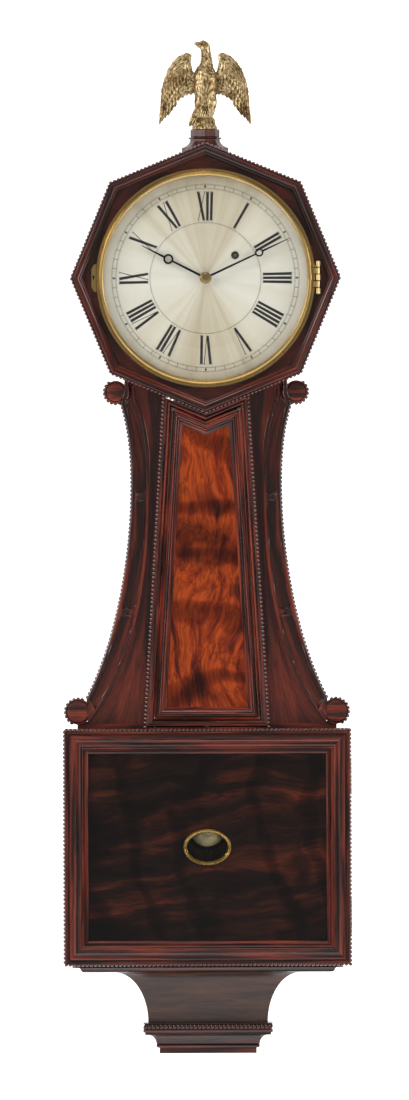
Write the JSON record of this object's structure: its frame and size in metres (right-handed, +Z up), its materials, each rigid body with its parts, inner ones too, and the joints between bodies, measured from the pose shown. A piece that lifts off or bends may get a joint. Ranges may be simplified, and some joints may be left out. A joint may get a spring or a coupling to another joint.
{
  "type": "banjo clock",
  "caption": "Wall-hung banjo clock with an octagonal head, tapered trunk with side scrolls, glazed dial and a pendulum box with a small oval window.",
  "frame": {"origin": "where the dial's axis meets the flat back face that lies on the wall", "axes": "+X to the right seen from the front, +Z up, the front faces -Y and the wall is at Y = 0"},
  "size_m": [0.3595, 0.1223, 1.2638],
  "materials": {
    "rosewood": "French polished dark rosewood",
    "rosewood_figured": "French polished figured rosewood veneer",
    "pine": "plain secondary wood",
    "brass": "lacquered brass",
    "brass_antique": "aged cast brass",
    "brass_works": "brushed clock brass",
    "steel": "plain steel",
    "blued_steel": "blued steel",
    "silvered": "silvered brass sheet",
    "ink": "black filled engraving",
    "glass": "clear glass",
    "iron": "cast iron",
    "tin": "black painted tin plate",
    "gut": "gut cord"
  },
  "bodies": {
    "case": {"back_board": "pine", "head_case": "rosewood", "head_front": "rosewood", "head_moulding": "rosewood", "head_beading": "rosewood", "trunk_sides": "rosewood", "trunk_frame": "rosewood", "trunk_panel": "rosewood_figured", "scroll_left": "rosewood", "scroll_right": "rosewood", "case_beading": "rosewood", "scroll_bosses": "rosewood", "box_case": "rosewood", "base_moulding": "rosewood", "drop_bracket": "rosewood", "bracket_foot": "rosewood", "finial_plinth": "rosewood", "eagle_finial": "brass_antique", "hanger_plate": "brass", "case_screws": "steel", "fixed_hinge_leaves": "brass", "hinge_pins": "brass", "weight_guard": "tin", "dial_plate": "silvered", "dial_feet": "brass", "back_plate": "brass_works", "front_plate": "brass_works", "pillars": "brass_works", "suspension_cock": "brass_works", "cord": "gut", "dial_marks": "ink"},
    "box_door": {"box_door_frame": "rosewood", "box_door_beading": "rosewood", "box_door_panel": "rosewood_figured", "window_ring": "brass", "window_glass": "glass", "door_hinge_leaves": "brass"},
    "bezel_door": {"bezel": "brass", "bezel_glass": "glass", "bezel_hinge_leaf": "brass", "bezel_lug": "brass"},
    "bezel_bolt": {"lock_bolt": "brass"},
    "great_wheel": {"great_wheel": "brass_works"},
    "winding": {"winding_drum": "steel"},
    "click": {"click": "steel"},
    "centre": {"centre_wheel": "brass_works", "cannon_pinion": "brass_works", "minute_hand": "blued_steel", "hand_collet": "brass"},
    "third": {"third_wheel": "brass_works"},
    "escape": {"escape_wheel": "brass_works"},
    "minute_wheel": {"minute_wheel": "brass_works"},
    "hour": {"hour_wheel": "brass_works", "hour_hand": "blued_steel"},
    "crutch": {"pallets": "steel"},
    "pendulum": {"pendulum_rod": "brass_works"},
    "bob": {"pendulum_bob": "brass"},
    "rating_nut": {"rating_nut": "brass"},
    "weight": {"weight": "iron"},
    "pulley": {"pulley": "brass"}
  },
  "joints": [
    {"name": "box_door_hinge", "type": "hinge", "parent": "case", "child": "box_door", "pos_m": [0.1778, -0.10015, -0.7], "axis": [0, 0, 1], "range_deg": [0, 110]},
    {"name": "bezel_hinge", "type": "hinge", "parent": "case", "child": "bezel_door", "pos_m": [0.1398, -0.109, 0], "axis": [0, 0, 1], "range_deg": [0, 105]},
    {"name": "bezel_bolt_slide", "type": "slide", "parent": "bezel_door", "child": "bezel_bolt", "axis": [0, 0, 1], "range_m": [0, 0.003]},
    {"name": "centre_arbor", "type": "hinge", "parent": "case", "child": "centre", "pos_m": [0, -0.05, 0], "axis": [0, 1, 0], "continuous": true},
    {"name": "hour_wheel_turn", "type": "hinge", "parent": "case", "child": "hour", "pos_m": [0, -0.07, 0], "axis": [0, 1, 0], "continuous": true},
    {"name": "minute_wheel_turn", "type": "hinge", "parent": "case", "child": "minute_wheel", "pos_m": [-0.01344, -0.06, -0.01741], "axis": [0, 1, 0], "continuous": true},
    {"name": "great_wheel_turn", "type": "hinge", "parent": "case", "child": "great_wheel", "pos_m": [0.03694, -0.024, 0.02824], "axis": [0, 1, 0], "continuous": true},
    {"name": "third_arbor", "type": "hinge", "parent": "case", "child": "third", "pos_m": [-0.02333, -0.04, 0.02334], "axis": [0, 1, 0], "continuous": true},
    {"name": "escape_arbor", "type": "hinge", "parent": "case", "child": "escape", "pos_m": [-0.01097, -0.04, 0.04201], "axis": [0, 1, 0], "continuous": true},
    {"name": "click_pivot", "type": "hinge", "parent": "great_wheel", "child": "click", "pos_m": [0.02083, -0.026, 0.03754], "axis": [0, 1, 0], "range_deg": [0, 12], "stiffness_Nm_per_rad": 0.002},
    {"name": "pendulum_swing", "type": "hinge", "parent": "case", "child": "pendulum", "pos_m": [0, -0.076, 0.055], "axis": [0, 1, 0], "range_deg": [-2.5, 2.5]},
    {"name": "crutch_swing", "type": "hinge", "parent": "case", "child": "crutch", "pos_m": [0, -0.06, 0.055], "axis": [0, 1, 0], "range_deg": [-2.5, 2.5]},
    {"name": "bob_slide", "type": "slide", "parent": "pendulum", "child": "bob", "axis": [0, 0, 1], "range_m": [-0.002, 0.002]},
    {"name": "rating_nut_turn", "type": "hinge", "parent": "bob", "child": "rating_nut", "pos_m": [0, -0.076, -0.685], "axis": [0, 0, 1], "range_deg": [-1029, 1029]},
    {"name": "weight_drop", "type": "slide", "parent": "case", "child": "weight", "axis": [0, 0, -1], "range_m": [0, 0.48381], "deforming": ["cord"]},
    {"name": "pulley_spin", "type": "hinge", "parent": "weight", "child": "pulley", "pos_m": [0.00774, -0.04, -0.08], "axis": [0, 1, 0], "range_deg": [-1600, 0]},
    {"name": "drum_wind", "type": "hinge", "parent": "great_wheel", "child": "winding", "pos_m": [0.03694, -0.04, 0.02824], "axis": [0, 1, 0], "range_deg": [-5100, 0]}
  ],
  "couplings": [
    {"joint": "hour_wheel_turn", "follows": "centre_arbor", "ratio": 0.083333},
    {"joint": "minute_wheel_turn", "follows": "centre_arbor", "ratio": -0.66667},
    {"joint": "great_wheel_turn", "follows": "centre_arbor", "ratio": -0.083333},
    {"joint": "third_arbor", "follows": "centre_arbor", "ratio": -10},
    {"joint": "escape_arbor", "follows": "centre_arbor", "ratio": 70},
    {"joint": "crutch_swing", "follows": "pendulum_swing", "ratio": 1},
    {"joint": "rating_nut_turn", "follows": "bob_slide", "rad_per_m": 8976},
    {"joint": "pulley_spin", "follows": "weight_drop", "rad_per_m": -55.556},
    {"joint": "drum_wind", "follows": "weight_drop", "rad_per_m": -181.82}
  ]
}
